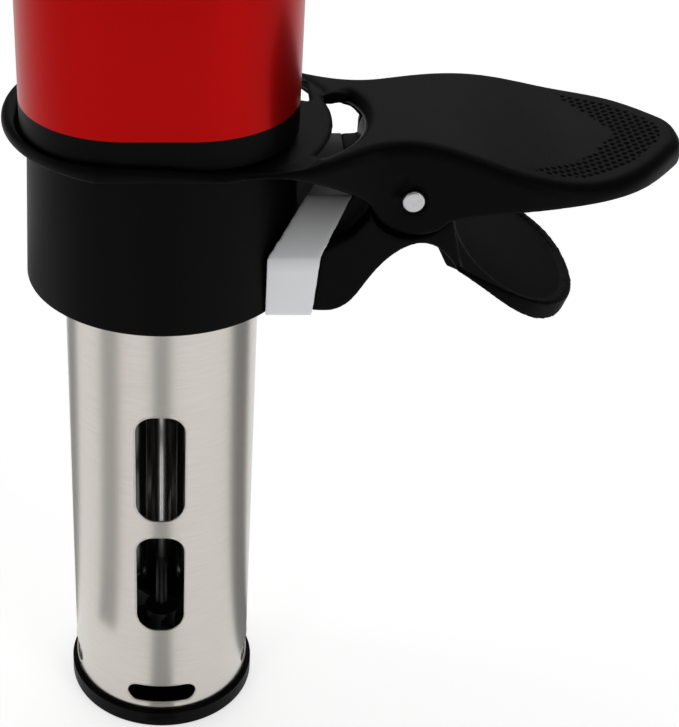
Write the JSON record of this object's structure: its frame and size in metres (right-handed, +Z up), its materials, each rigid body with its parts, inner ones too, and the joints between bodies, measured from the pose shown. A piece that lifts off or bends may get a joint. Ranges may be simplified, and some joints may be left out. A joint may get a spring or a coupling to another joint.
{
  "type": "sous vide circulator",
  "caption": "Immersion circulator with a slotted steel skirt tube, red body, sloped control head and a sprung pot clamp squeezed by finger levers.",
  "frame": {"origin": "centre of the base cap's underside, on the axis of the tube", "axes": "+Z up along the tube towards the head, +X along the clamp's handle, -Y the side with the water slots"},
  "size_m": [0.1897, 0.0824, 0.3845],
  "materials": {
    "red_paint": "glossy metallic",
    "brushed_steel": "brushed along the tube",
    "polished_steel": "polished",
    "black_plastic": "fine grain",
    "white_silicone": "satin",
    "black_rubber": "matte",
    "zinc": "bright",
    "spring_wire": "drawn wire",
    "bronze": "sintered",
    "inner_plastic": "moulded",
    "aluminium": "machined",
    "motor_steel": "plated",
    "board_green": "solder mask",
    "component_black": "moulded",
    "smoked_lens": "polished",
    "button_grey": "satin"
  },
  "bodies": {
    "circulator": {"base_cap": "black_plastic", "board_screws": "zinc", "body_sleeve": "red_paint", "bulkhead": "inner_plastic", "bulkhead_screws": "zinc", "button_switches": "component_black", "capacitor": "component_black", "clamp_frame": "black_plastic", "control_board": "board_green", "control_screws": "zinc", "cord_gland": "black_rubber", "display_lens": "smoked_lens", "display_module": "component_black", "foot_bush": "bronze", "guide_bush": "bronze", "head_gasket": "black_rubber", "head_housing": "black_plastic", "heater_left": "polished_steel", "heater_right": "polished_steel", "level_probes": "polished_steel", "lower_housing": "black_plastic", "motor_can": "motor_steel", "motor_cap": "inner_plastic", "motor_mount": "aluminium", "motor_screws": "zinc", "pivot_rivet": "zinc", "power_board": "board_green", "relay": "component_black", "shaft_guide": "polished_steel", "shaft_seal": "black_rubber", "skirt_tube": "brushed_steel", "temperature_probe": "polished_steel", "torsion_spring": "spring_wire", "transformer": "component_black", "trim_ring": "black_plastic", "tube_gasket": "black_rubber"},
    "rotor": {"drive_shaft": "motor_steel", "impeller": "inner_plastic", "shaft_coupler": "aluminium", "motor_rotor": "motor_steel"},
    "jaw": {"jaw_lever": "black_plastic", "jaw_pad": "white_silicone"},
    "button_up": {"button_up": "button_grey"},
    "button_down": {"button_down": "button_grey"},
    "button_start": {"button_start": "button_grey"}
  },
  "joints": [
    {"name": "jaw_pivot", "type": "hinge", "parent": "circulator", "child": "jaw", "pos_m": [0.0683, 0, 0.192], "axis": [0, -1, 0], "range_deg": [0, 25], "stiffness_Nm_per_rad": 0.6, "springref_deg": -20.05, "deforming": ["torsion_spring"]},
    {"name": "impeller_spin", "type": "hinge", "parent": "circulator", "child": "rotor", "pos_m": [0, 0, 0], "axis": [0, 0, 1], "continuous": true},
    {"name": "button_up_press", "type": "slide", "parent": "circulator", "child": "button_up", "axis": [0.5299, 0, -0.848], "range_m": [0, 0.0008], "stiffness_N_per_m": 800},
    {"name": "button_down_press", "type": "slide", "parent": "circulator", "child": "button_down", "axis": [0.5299, 0, -0.848], "range_m": [0, 0.0008], "stiffness_N_per_m": 800},
    {"name": "button_start_press", "type": "slide", "parent": "circulator", "child": "button_start", "axis": [0.5299, 0, -0.848], "range_m": [0, 0.0008], "stiffness_N_per_m": 800}
  ]
}
